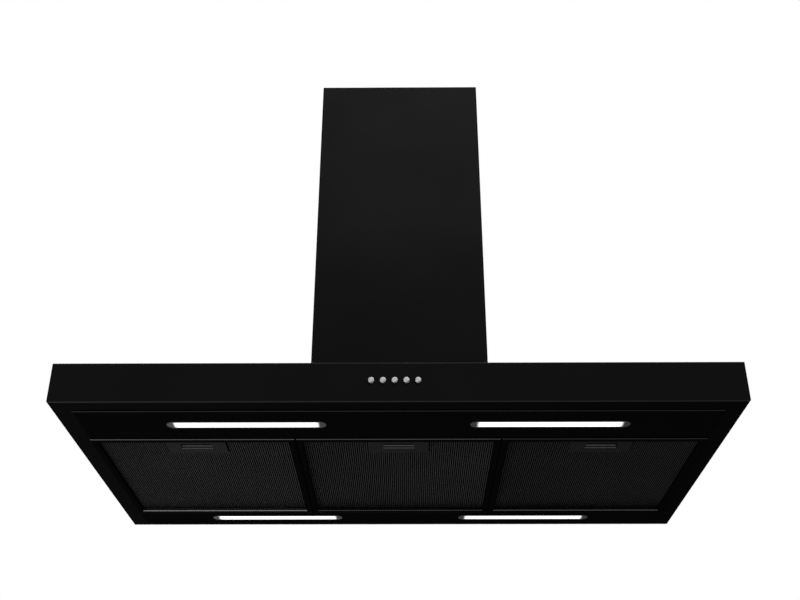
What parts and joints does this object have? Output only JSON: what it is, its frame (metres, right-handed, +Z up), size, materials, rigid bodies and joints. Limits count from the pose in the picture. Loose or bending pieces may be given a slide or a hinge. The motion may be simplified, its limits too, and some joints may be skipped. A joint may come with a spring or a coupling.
{
  "type": "chimney range hood",
  "caption": "Wall-mounted T-shaped chimney range hood with push buttons, light strips, hinged grease filters and a telescopic flue cover.",
  "frame": {"origin": "wall plane, middle of the hood's width, level with the canopy's lower rim", "axes": "+X to the right seen from the front, +Y into the wall, +Z up"},
  "size_m": [0.9, 0.5032, 0.734],
  "materials": {
    "black_paint": "satin black powder coat",
    "galvanised": "galvanised sheet",
    "zinc_screws": "zinc plated",
    "grey_plastic": "moulded",
    "black_plastic": "moulded",
    "white_plastic": "moulded",
    "motor_steel": "pressed steel case",
    "bright_steel": "bright",
    "rubber": "soft",
    "led_board": "white board",
    "circuit_board": "green board with black relays",
    "lead_sheath": "grey sheath",
    "lamp_diffuser": "opal diffuser, lit",
    "filter_black": "black coated aluminium",
    "filter_mesh": "black coated expanded aluminium",
    "silver_plastic": "silver metallised button"
  },
  "bodies": {
    "hood": {"canopy_shell": "black_paint", "front_lamp_panel": "black_paint", "rear_lamp_panel": "black_paint", "chimney_lower": "black_paint", "back_panel": "galvanised", "blower_box": "galvanised", "switch_bracket": "galvanised", "motor_bracket": "galvanised", "body_screws": "zinc_screws", "scroll_left": "grey_plastic", "scroll_right": "grey_plastic", "outlet_collar": "black_plastic", "motor": "motor_steel", "motor_grommets": "rubber", "control_box": "black_plastic", "control_lid": "black_plastic", "capacitor": "white_plastic", "lamp_driver": "white_plastic", "cable_gland": "black_plastic", "switch_body": "black_plastic", "led_boards": "led_board", "lamp_cases": "black_plastic", "control_board": "circuit_board", "terminal_block": "white_plastic", "wiring": "lead_sheath", "lamp_lenses": "lamp_diffuser", "canopy_rim": "black_paint", "collar_flange": "black_plastic", "flap_seat": "black_plastic", "blower_box_rear": "galvanised", "blower_box_top": "galvanised", "button_spring_1": "bright_steel", "button_spring_2": "bright_steel", "button_spring_3": "bright_steel", "button_spring_4": "bright_steel", "button_spring_5": "bright_steel"},
    "chimney_upper": {"chimney_upper": "black_paint", "chimney_bracket": "galvanised", "bracket_screws": "zinc_screws"},
    "impeller": {"impeller": "grey_plastic", "motor_shaft": "bright_steel"},
    "flap_left": {"flap_left": "black_plastic"},
    "flap_right": {"flap_right": "black_plastic"},
    "button_1": {"button_1": "silver_plastic"},
    "button_2": {"button_2": "silver_plastic"},
    "button_3": {"button_3": "silver_plastic"},
    "button_4": {"button_4": "silver_plastic"},
    "button_5": {"button_5": "silver_plastic"},
    "filter_left": {"filter_frame_left": "filter_black", "filter_mesh_left": "filter_mesh", "latch_spring_left": "bright_steel"},
    "latch_left": {"filter_latch_left": "filter_black"},
    "filter_centre": {"filter_frame_centre": "filter_black", "filter_mesh_centre": "filter_mesh", "latch_spring_centre": "bright_steel"},
    "latch_centre": {"filter_latch_centre": "filter_black"},
    "filter_right": {"filter_frame_right": "filter_black", "filter_mesh_right": "filter_mesh", "latch_spring_right": "bright_steel"},
    "latch_right": {"filter_latch_right": "filter_black"}
  },
  "joints": [
    {"name": "button_1_press", "type": "slide", "parent": "hood", "child": "button_1", "axis": [0, 1, 0], "range_m": [0, 0.0025], "stiffness_N_per_m": 400, "springref_m": -0.002, "deforming": ["button_spring_1"]},
    {"name": "button_2_press", "type": "slide", "parent": "hood", "child": "button_2", "axis": [0, 1, 0], "range_m": [0, 0.0025], "stiffness_N_per_m": 400, "springref_m": -0.002, "deforming": ["button_spring_2"]},
    {"name": "button_3_press", "type": "slide", "parent": "hood", "child": "button_3", "axis": [0, 1, 0], "range_m": [0, 0.0025], "stiffness_N_per_m": 400, "springref_m": -0.002, "deforming": ["button_spring_3"]},
    {"name": "button_4_press", "type": "slide", "parent": "hood", "child": "button_4", "axis": [0, 1, 0], "range_m": [0, 0.0025], "stiffness_N_per_m": 400, "springref_m": -0.002, "deforming": ["button_spring_4"]},
    {"name": "button_5_press", "type": "slide", "parent": "hood", "child": "button_5", "axis": [0, 1, 0], "range_m": [0, 0.0025], "stiffness_N_per_m": 400, "springref_m": -0.002, "deforming": ["button_spring_5"]},
    {"name": "filter_left_swing", "type": "hinge", "parent": "hood", "child": "filter_left", "pos_m": [0, -0.072, -0.001], "axis": [1, 0, 0], "range_deg": [0, 60]},
    {"name": "latch_left_slide", "type": "slide", "parent": "filter_left", "child": "latch_left", "axis": [0, 1, 0], "range_m": [0, 0.005], "stiffness_N_per_m": 300, "springref_m": -0.003, "deforming": ["latch_spring_left"]},
    {"name": "filter_centre_swing", "type": "hinge", "parent": "hood", "child": "filter_centre", "pos_m": [0, -0.072, -0.001], "axis": [1, 0, 0], "range_deg": [0, 60]},
    {"name": "latch_centre_slide", "type": "slide", "parent": "filter_centre", "child": "latch_centre", "axis": [0, 1, 0], "range_m": [0, 0.005], "stiffness_N_per_m": 300, "springref_m": -0.003, "deforming": ["latch_spring_centre"]},
    {"name": "filter_right_swing", "type": "hinge", "parent": "hood", "child": "filter_right", "pos_m": [0, -0.072, -0.001], "axis": [1, 0, 0], "range_deg": [0, 60]},
    {"name": "latch_right_slide", "type": "slide", "parent": "filter_right", "child": "latch_right", "axis": [0, 1, 0], "range_m": [0, 0.005], "stiffness_N_per_m": 300, "springref_m": -0.003, "deforming": ["latch_spring_right"]},
    {"name": "upper_cover_slide", "type": "slide", "parent": "hood", "child": "chimney_upper", "axis": [0, 0, 1], "range_m": [0, 0.35]},
    {"name": "impeller_spin", "type": "hinge", "parent": "hood", "child": "impeller", "pos_m": [0, -0.1625, 0.145], "axis": [1, 0, 0], "continuous": true},
    {"name": "flap_left_swing", "type": "hinge", "parent": "hood", "child": "flap_left", "pos_m": [-0.005, -0.105, 0.285], "axis": [0, 1, 0], "range_deg": [0, 80]},
    {"name": "flap_right_swing", "type": "hinge", "parent": "hood", "child": "flap_right", "pos_m": [0.005, -0.105, 0.285], "axis": [0, -1, 0], "range_deg": [0, 80]}
  ]
}
